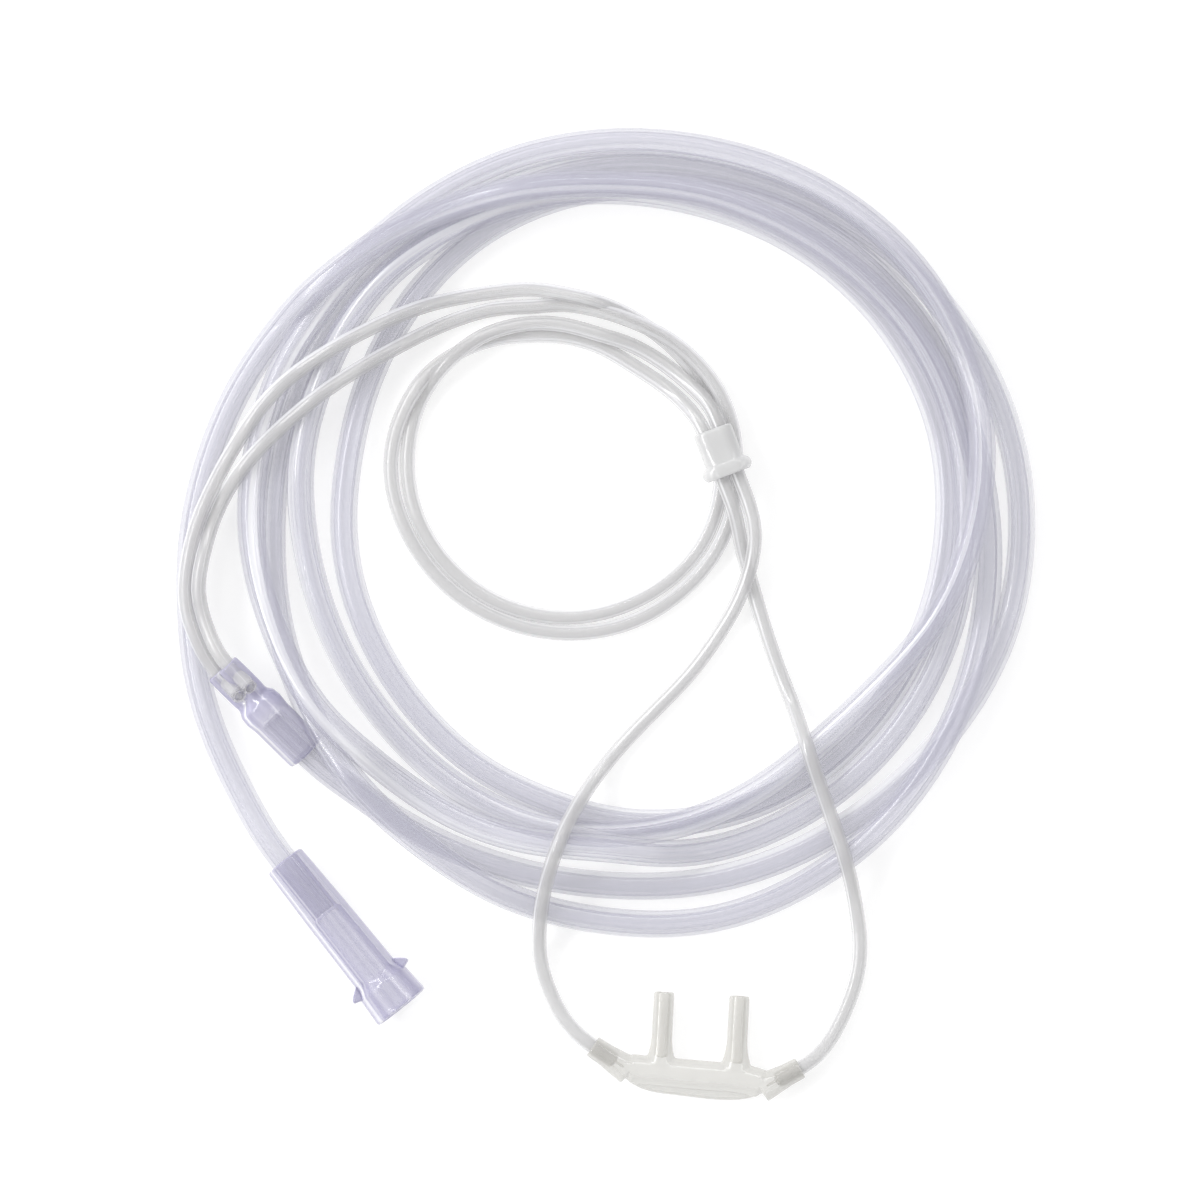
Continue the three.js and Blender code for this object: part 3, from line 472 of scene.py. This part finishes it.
# Materials
def material(name, slot, colour, roughness, opacity, edge, rise,
             streaks=0.0, fineness=2.0, mottle=0.0, dense=0.0):
    """A clear or milky vinyl. Its opaque share is opacity + (edge - opacity) * f ^ rise, where f is 0 seen square
    on and 1 seen along the surface, and dense times the Dense attribute more. Streaks follow the tube: dark and
    light ones from one noise stretched along it, and a painted highlight, near-white lines where that noise peaks.
    A mottle on fittings varies the tint and moves the surface a little. Both vary the roughness."""
    m = bpy.data.materials.new(name)
    m.use_nodes = True
    nt = m.node_tree
    b = nt.nodes["Principled BSDF"]
    b.inputs["Specular IOR Level"].default_value = 0.9
    b.inputs["IOR"].default_value = 1.5
    b.inputs["Coat Weight"].default_value = 0.8
    b.inputs["Coat Roughness"].default_value = 0.1
    link = nt.links.new

    def node(kind, **values):
        n = nt.nodes.new(kind)
        for key, value in values.items():
            setattr(n, key, value)
        return n

    def maths(operation, a, c, clamp=False):
        n = node("ShaderNodeMath", operation=operation, use_clamp=clamp)
        for socket, value in zip(n.inputs, (a, c)):
            if isinstance(value, (int, float)):
                socket.default_value = value
            else:
                link(value, socket)
        return n.outputs[0]

    def noise(vector, scale, detail):
        n = node("ShaderNodeTexNoise")
        n.inputs["Scale"].default_value = scale
        n.inputs["Detail"].default_value = detail
        link(vector, n.inputs["Vector"])
        return n.outputs["Fac"]

    tone, painted_glint = None, None
    if streaks:
        stretch = node("ShaderNodeMapping")
        stretch.inputs["Scale"].default_value = (1.0, 1.0, 0.2)
        link(node("ShaderNodeAttribute", attribute_name="Along").outputs["Vector"], stretch.inputs["Vector"])
        lines = noise(stretch.outputs["Vector"], fineness, 0.8)
        tone = maths("MULTIPLY", maths("SUBTRACT", lines, 0.5), 2 * streaks)
        # painted highlight: near-white lines where the streak noise peaks, painted in place of the lamps' highlight
        # lines along the tubes
        painted_glint = maths("MULTIPLY", maths("SUBTRACT", lines, 0.6), 8.0, clamp=True)
    if mottle:
        soft = noise(node("ShaderNodeTexCoord").outputs["Object"], 420.0, 1.0)
        spread = maths("MULTIPLY", maths("SUBTRACT", soft, 0.5), 2 * mottle)
        tone = maths("ADD", tone, spread) if tone else spread
        bump = node("ShaderNodeBump")
        bump.inputs["Strength"].default_value = 0.1
        bump.inputs["Distance"].default_value = 0.0002
        link(soft, bump.inputs["Height"])
        link(bump.outputs["Normal"], b.inputs["Normal"])
    shade = node("ShaderNodeMix", data_type="RGBA", blend_type="MIX")
    shade.inputs[6].default_value = (*(c * 0.74 for c in colour), 1)
    shade.inputs[7].default_value = (*(min(1.0, c * 1.2 + 0.02) for c in colour), 1)
    link(maths("ADD", tone, 0.5, clamp=True), shade.inputs[0])
    tint = shade.outputs[2]
    # the painted highlight is mixed into the tint as near-white colour (0.97, 0.97, 1.0)
    if painted_glint:
        bright = node("ShaderNodeMix", data_type="RGBA", blend_type="MIX")
        link(tint, bright.inputs[6])
        bright.inputs[7].default_value = (0.97, 0.97, 1.0, 1)
        link(painted_glint, bright.inputs[0])
        tint = bright.outputs[2]
    link(tint, b.inputs["Base Color"])
    link(maths("ADD", maths("MULTIPLY", tone, -0.3), roughness, clamp=True), b.inputs["Roughness"])
    facing = node("ShaderNodeLayerWeight")
    facing.inputs["Blend"].default_value = 0.5
    rim = maths("POWER", facing.outputs["Facing"], rise)
    alpha = maths("ADD", maths("MULTIPLY", rim, edge - opacity), opacity)
    alpha = maths("SUBTRACT", alpha, maths("MULTIPLY", tone, 0.4), clamp=True)
    if dense:
        more = node("ShaderNodeAttribute", attribute_name="Dense").outputs["Fac"]
        alpha = maths("ADD", alpha, maths("MULTIPLY", more, dense), clamp=True)
    # the painted highlight is also made more opaque so that it shows over the tubes beneath
    if painted_glint:
        alpha = maths("ADD", alpha, maths("MULTIPLY", painted_glint, 0.25), clamp=True)
    link(alpha, b.inputs["Alpha"])
    return m, slot


def finish_with(obj, made, body="cannula", replaced=()):
    """Gives a piece its material, rides it on its body and replaces its solids."""
    made_material, slot = made
    obj.data.materials.append(made_material)
    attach(obj, body)
    if replaced:
        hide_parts(*replaced)
    return obj


SUPPLY_VINYL = material("supply vinyl", "supply_vinyl", (0.60, 0.595, 0.705), 0.2, 0.22, 0.55, 2.0, 0.38, 1.6)
LARIAT_VINYL = material("thin tube vinyl", "lariat_vinyl", (0.73, 0.725, 0.73), 0.22, 0.36, 0.62, 1.8, 0.22, 1.5)
VIOLET_VINYL = material(
    "violet vinyl", "violet_vinyl", (0.50, 0.48, 0.675), 0.12, 0.2, 0.95, 1.1, 0.5, 3.2, 0.05, 0.5,
)
MILKY_PLASTIC = material(
    "milky plastic", "milky_plastic", (0.97, 0.97, 0.975), 0.25, 0.5, 0.85, 1.5, mottle=0.03,
)
SOFT_VINYL = material("soft vinyl", "soft_vinyl", (0.7, 0.687, 0.645), 0.22, 0.34, 0.85, 1.3, mottle=0.05)


# Camera, set up first
camera_data = bpy.data.cameras.new("camera")
camera = bpy.data.objects.new("camera", camera_data)
bpy.context.scene.collection.objects.link(camera)
camera.location = (0.01711, 0.0300, 2.4)
camera.rotation_euler = (0, 0, 0)
camera_data.sensor_fit = "AUTO"
camera_data.sensor_width = 36.0
camera_data.lens = 36.0 * 2.4 / 0.2232
camera_data.clip_start, camera_data.clip_end = 0.1, 20.0
bpy.context.scene.camera = camera


# The tubes
supply_path, left_path, right_path = tube_lines()


def thin_wall(a, s):
    """Outside radius of a thin tube, the same all round and all along."""
    return LARIAT_R


def thin_bore(a, s):
    """Bore radius of a thin tube, the same all round and all along."""
    return 0.95


def star_bore(a, s):
    """The supply tube's bore, a five-pointed star: 1.15 + 0.75 w ^ 1.6, where w = (1 + cos 5a) / 2."""
    swing = 0.5 + 0.5 * np.cos(5 * a)
    return 1.15 + 0.75 * swing ** 1.6


def slow_turn(s):
    """The bore's slow turn about the line: 0.004 s and two slow waves in s, in radians."""
    return 0.004 * s + 0.5 * np.sin(s / 90.0) + 0.25 * np.sin(s / 37.0 + 1.0)


supply_tube = hollow_tube("supply_tube", supply_path, lambda a, s: SUPPLY_R, star_bore, 20, 40, slow_turn)
left_tube = hollow_tube("lariat_tube_left", left_path, thin_wall, thin_bore, 20, 20, slow_turn)
right_tube = hollow_tube("lariat_tube_right", right_path, thin_wall, thin_bore, 20, 20, slow_turn)
SUPPLY_NODES = ("supply_tube_start", "supply_tube_coil", "supply_tube_tail")
finish_with(supply_tube, SUPPLY_VINYL, "cannula", SUPPLY_NODES)
finish_with(left_tube, LARIAT_VINYL, "cannula", ("lariat_left_lead", "lariat_left_loop", "lariat_coil"))
finish_with(right_tube, LARIAT_VINYL, "cannula", ("lariat_right_lead", "lariat_right_loop"))


# Supply connector
def connector_body():
    """The turned shell: tube end, waist, belly, flared mouth with a rolled rim, then back along the bore."""
    length = CONNECTOR_LENGTH
    loop = [
        (0, 3.55), (0.35, 3.9), (12.4, 4.25), (27.7, 4.5), (28.4, 4.75), (29.4, 5.25),
        (33.6, 5.5), (34.3, 5.6),
        (length, 5.45), (length, 5.0), (34.3, 4.85), (29.4, 4.4), (27.7, 3.6), (27.2, 3.3), (12.8, 3.05),
        (12.4, 2.62), (0, 2.62),
    ]
    return revolved(rounded(loop, 0.4), CONNECTOR_FRAME, 96)


def hook_lug(side):
    """A finger lug: a hooked outline in the fitting's plan, thickest at its root, with soft edges."""
    lean = np.array([
        [26.5, 4.1], [27.1, 4.95], [27.75, 5.8], [28.35, 6.42], [28.7, 6.5], [29.0, 6.35], [29.2, 5.6], [29.6, 4.6],
    ])
    ring = rounded(lean, 0.25, 3)
    mid = ring.mean(axis=0)
    levels = np.array([
        (-1.75, 0.55), (-1.7, 0.8), (-1.5, 0.95), (-1.2, 1.0), (1.2, 1.0), (1.5, 0.95),
        (1.7, 0.8), (1.75, 0.55),
    ])
    p = np.stack([
        mid[0] + (ring[None, :, 0] - mid[0]) * levels[:, 1:],
        side * (mid[1] + (ring[None, :, 1] - mid[1]) * levels[:, 1:]),
        np.repeat(levels[:, :1], len(ring), axis=1),
    ], -1).reshape(-1, 3)
    n = len(ring)
    p = np.concatenate([p, [[mid[0], side * mid[1], -1.75], [mid[0], side * mid[1], 1.75]]])
    k = np.arange(n)
    faces = [grid_faces(8, n), fan(k[::-1], 8 * n), fan(k + 7 * n, 8 * n + 1)]
    return placed(CONNECTOR_FRAME, p), faces


def lengthwise(parts, frame_):
    """Each point's place for the streaks: its direction round a fitting's x axis, and a hundredth of
    its distance."""
    origin, axes = frame_
    local = (np.concatenate([p for p, _ in parts]) - origin) @ axes.T
    round_ = local[:, 1:] / np.maximum(np.linalg.norm(local[:, 1:], axis=1, keepdims=True), 0.5)
    return np.column_stack([round_, local[:, 0] * 0.01]), local


connector_parts = [connector_body(), hook_lug(1), hook_lug(-1)]
connector_along, connector_place = lengthwise(connector_parts, CONNECTOR_FRAME)
connector_dense = np.r_[np.zeros(len(connector_parts[0][0])), np.ones(2 * len(connector_parts[1][0]))]
connector_dense += np.clip((connector_place[:, 0] - CONNECTOR_LENGTH + 1.2) / 1.2, 0, 1) * 0.35
supply_connector = surface("supply_end_connector", connector_parts, connector_along, connector_dense)
finish_with(supply_connector, VIOLET_VINYL, "cannula", ("supply_connector",))


# Y connector
def y_body():
    """Two rolled barrels that blend into a round hub: the larger of two circles' polar radii gives way to one
    circle between the barrels' roots and the hub."""
    roll = np.radians(45)
    stations = np.r_[
        0, 0.12, 0.4, np.linspace(1, 7.2, 6), np.linspace(7.6, 11, 9), 11.6, 12.4, 13.0,
        np.linspace(14, 21.2, 6), 21.8, 22.15, 22.3,
    ]
    hub_at = [0, 7.2, 8.2, 9.2, 11, 13, 21.8, 22.15, 22.3]
    hub = np.interp(stations, hub_at, [3.0, 3.0, 3.5, 4.05, 4.25, 4.0, 3.95, 3.8, 3.5])
    blend = np.clip((stations - 6.8) / 2.6, 0, 1)
    blend = blend * blend * (3 - 2 * blend)
    barrel = np.interp(stations, [0, 0.12, 0.4, 3], [1.75 + 0.1, 2.05, 2.15, 2.2])

    def outline(a, k):
        two = [1.75 * np.cos(a - c) + np.sqrt(np.maximum(barrel[k] ** 2 - (1.75 * np.sin(a - c)) ** 2, 0.01))
               for c in (roll, roll + np.pi)]
        pair = np.maximum(*two)
        return (1 - blend[k]) * pair + blend[k] * hub[k]

    return polar_section(outline, stations, Y_FRAME)


y_parts = [y_body()]
y_along, y_place = lengthwise(y_parts, Y_FRAME)
y_dense = np.interp(y_place[:, 0], [0, 4.0, 6.0, 11.0, 13.5, 21.5, 22.3], [0.25, 0.25, 0.7, 0.6, 0.1, 0.1, 0.3])
y_connector = surface("y_fitting", y_parts, y_along, y_dense)
finish_with(y_connector, VIOLET_VINYL, "cannula", ("y_connector",))


# Tension slide
def slide_body():
    """An oval sleeve: slot sections along x, out over the flange and back through the slot bore,
    closed in a ring."""
    swell = np.sin(np.linspace(0.06, 0.94, 11) * np.pi) ** 0.6
    outer = [
        (0.0, 6.7, 4.2), (0.12, 7.1, 4.6), (0.45, 7.35, 4.85), (0.9, 7.4, 4.9), (3.0, 7.4, 4.9),
        (6.4, 7.45, 4.92),
    ]
    outer += [(6.7 + 2.4 * k / 10, 7.4 + 2.2 * q, 4.9 + 0.8 * q) for k, q in enumerate(swell)]
    inner = [
        (9.1, 6.5, 3.5), (8.8, 6.15, 3.15), (8.0, 6.1, 3.1), (1.0, 6.1, 3.1), (0.3, 6.15, 3.15),
        (0.0, 6.4, 3.4),
    ]
    a = 2 * np.pi * np.arange(80) / 80
    rows = outer + inner
    p = np.array([
        np.column_stack([np.full(80, x), slot_radius(a, w, h) * np.cos(a), slot_radius(a, w, h) * np.sin(a)])
        for x, w, h in rows
    ]).reshape(-1, 3)
    return placed(SLIDE_FRAME, p), [grid_faces(len(rows), 80, wrap_rows=True)]


tension_slide = surface("tension_sleeve", [slide_body()])
finish_with(tension_slide, MILKY_PLASTIC, "slide", ("tension_slide",))


# Nasal piece
def nasal_parts():
    """The moulding's forms before they are fused: prong shells, bar, socket shells and flap, each a
    closed surface."""
    parts = []
    for side in (-7.0, 7.0):
        prong = [
            (-4.6, 0.6), (-4.6, 2.4), (-3.4, 2.8), (-2.6, 2.8), (-1.9, 2.62), (-1.0, 2.34), (0.2, 2.1),
            (1.6, 1.94), (9.9, 1.92), (10.25, 1.86), (10.4, 1.68), (10.4, 1.4), (10.2, 1.27), (0.6, 1.24),
            (-2.0, 1.3), (-2.6, 0.6),
        ]
        axes = np.array([[0, 1.0, 0], [-1.0, 0, 0], [0, 0, 1.0]])
        parts.append(revolved(rounded(prong, 0.12, 3), (np.array([side, 0, 0]), axes), 56))
    ends = []
    for mouth, heading in NASAL_MOUTHS:
        way = np.array([np.cos(np.radians(heading)), np.sin(np.radians(heading)), 0])
        frame_ = fitting_frame(mouth, np.array(mouth) + way)
        socket = [
            (0.0, 1.5), (0.0, 1.95), (0.15, 2.08), (3.0, 2.14), (6.0, 2.5), (8.2, 2.72),
            (8.6, 0.3), (5.0, 0.3),
            (4.9, 1.5),
        ]
        parts.append(revolved(rounded(socket, 0.12, 3), frame_, 48))
        ends.append(np.array(mouth) + 7.2 * way)
    bar_middle = [(-9.5, -4.3, 0), (-3, -4.6, 0), (3.5, -4.8, 0), (9.5, -5.2, 0)]
    bar_line = smooth_line([ends[0], *bar_middle, ends[1]], 0.6)
    n = len(bar_line)
    radius = 2.7 + 0.05 * np.sin(np.pi * np.linspace(0, 1, n))
    shape = np.minimum(1.0, np.sin(np.pi * np.linspace(0, 1, n)) * 8) ** 0.5
    _, side, up = carried_frames(bar_line)
    a = 2 * np.pi * np.arange(36) / 36
    ring = side[:, None] * np.cos(a)[None, :, None] + up[:, None] * np.sin(a)[None, :, None]
    p = bar_line[:, None] + (radius * shape)[:, None, None] * ring
    parts.append((p.reshape(-1, 3), [grid_faces(n, 36)]))
    lower = smooth_line([
        (-16.2, -3.6, 0), (-10.8, -7.7, 0), (-4, -8.75, 0), (2.9, -9.2, 0), (9.5, -8.7, 0), (12.4, -7.5, 0),
        (16.0, -5.0, 0),
    ], 0.5)
    upper = np.interp(lower[:, 0], [-16.2, -9.5, 9.5, 16.0], [-2.4, -4.3, -5.2, -4.0])
    t = np.linspace(0, 1, 12)
    sheet_y = upper[:, None] + (lower[:, 1] - upper)[:, None] * t
    low, high = -2.75, -0.85
    mid = (low + high) / 2
    half = (high - low) / 2 * np.sqrt(np.clip(1 - np.clip((t - 0.9) / 0.1, 0, 1) ** 2, 0.02, 1))
    x = np.repeat(lower[:, :1], 12, axis=1)
    top = np.stack([x, sheet_y, np.broadcast_to(mid + half, x.shape)], -1)
    bottom = np.stack([x, sheet_y, np.broadcast_to(mid - half, x.shape)], -1)
    m = len(lower)
    grid = np.concatenate([top, bottom[:, ::-1]], axis=1).reshape(-1, 3)
    caps = np.array([
        (row * 24 + k, row * 24 + k + 1, row * 24 + 22 - k, row * 24 + 23 - k)
        for row in (0, m - 1) for k in range(11)
    ])
    caps[:11] = caps[:11, ::-1]
    parts.append((grid, [grid_faces(m, 24), caps[:, ::-1]]))
    return parts


def fused(obj, pitch, smoothing):
    """The closed surfaces of a mesh fused into one skin by a voxel remesh and evened by a smoothing pass."""
    remesh = obj.modifiers.new("fuse", "REMESH")
    remesh.mode = "VOXEL"
    remesh.voxel_size = pitch * MM
    remesh.use_smooth_shade = True
    even = obj.modifiers.new("even", "SMOOTH")
    even.factor, even.iterations = 0.5, smoothing
    bpy.context.view_layer.update()
    mesh = bpy.data.meshes.new_from_object(obj.evaluated_get(bpy.context.evaluated_depsgraph_get()))
    obj.modifiers.clear()
    old, obj.data = obj.data, mesh
    mesh.name = old.name
    bpy.data.meshes.remove(old)
    return obj


nasal_piece = surface("nasal_cannula_piece", [(placed(NASAL_FRAME, p), f) for p, f in nasal_parts()])
fused(nasal_piece, 0.16, 14)
finish_with(nasal_piece, SOFT_VINYL, "cannula", ("nasal_piece",))


# The free tubes
def lay(obj, path):
    """Prints a tube's name and the length of its centre line in metres."""
    path = path * MM
    length = np.linalg.norm(np.diff(path, axis=0), axis=1).sum()
    print("cord", obj.name, round(float(length), 4))
    [tuple(q) for q in path]


lay(supply_tube, supply_path)
lay(left_tube, left_path)
lay(right_tube, right_path)


# Floor, light
def stage():
    """A plain white floor, a bright even sky and three long soft panels, the strongest on the left."""
    mesh = bpy.data.meshes.new("floor")
    mesh.from_pydata([(-3, -3, -0.0002), (3, -3, -0.0002), (3, 3, -0.0002), (-3, 3, -0.0002)], [], [(0, 1, 2, 3)])
    floor = bpy.data.objects.new("floor", mesh)
    bpy.context.scene.collection.objects.link(floor)
    m = bpy.data.materials.new("floor white")
    m.use_nodes = True
    b = m.node_tree.nodes["Principled BSDF"]
    b.inputs["Base Color"].default_value = (0.48, 0.48, 0.48, 1)
    b.inputs["Roughness"].default_value = 0.9
    b.inputs["Specular IOR Level"].default_value = 0.0
    b.inputs["Emission Color"].default_value = (1, 1, 1, 1)
    b.inputs["Emission Strength"].default_value = 0.62
    mesh.materials.append(m)
    world = bpy.data.worlds.new("sky")
    bpy.context.scene.world = world
    world.use_nodes = True
    world.node_tree.nodes["Background"].inputs["Color"].default_value = (1, 1, 1, 1)
    world.node_tree.nodes["Background"].inputs["Strength"].default_value = 0.6
    for place, power in (((-0.8, 0.25, 0.8), 9.0), ((0.1, 1.0, 0.9), 3.5), ((0.9, -0.1, 0.8), 1.5)):
        light = bpy.data.lights.new("panel", "AREA")
        light.shape, light.energy, light.size, light.size_y = "RECTANGLE", power, 1.1, 0.22
        panel = bpy.data.objects.new("panel", light)
        bpy.context.scene.collection.objects.link(panel)
        panel.location = place
        aim = np.array([0.02, 0.03, 0.0]) - np.array(place)
        panel.rotation_mode = "QUATERNION"
        panel.rotation_quaternion = bpy_aim(aim)


def bpy_aim(way):
    """The turn that points a lamp's -Z along a direction."""
    return Vector(way).to_track_quat("-Z", "Y")


stage()
bpy.context.scene.view_settings.view_transform = "Standard"
cycles = bpy.context.scene.cycles
cycles.transparent_max_bounces, cycles.max_bounces = 28, 5
cycles.diffuse_bounces, cycles.glossy_bounces = 2, 2
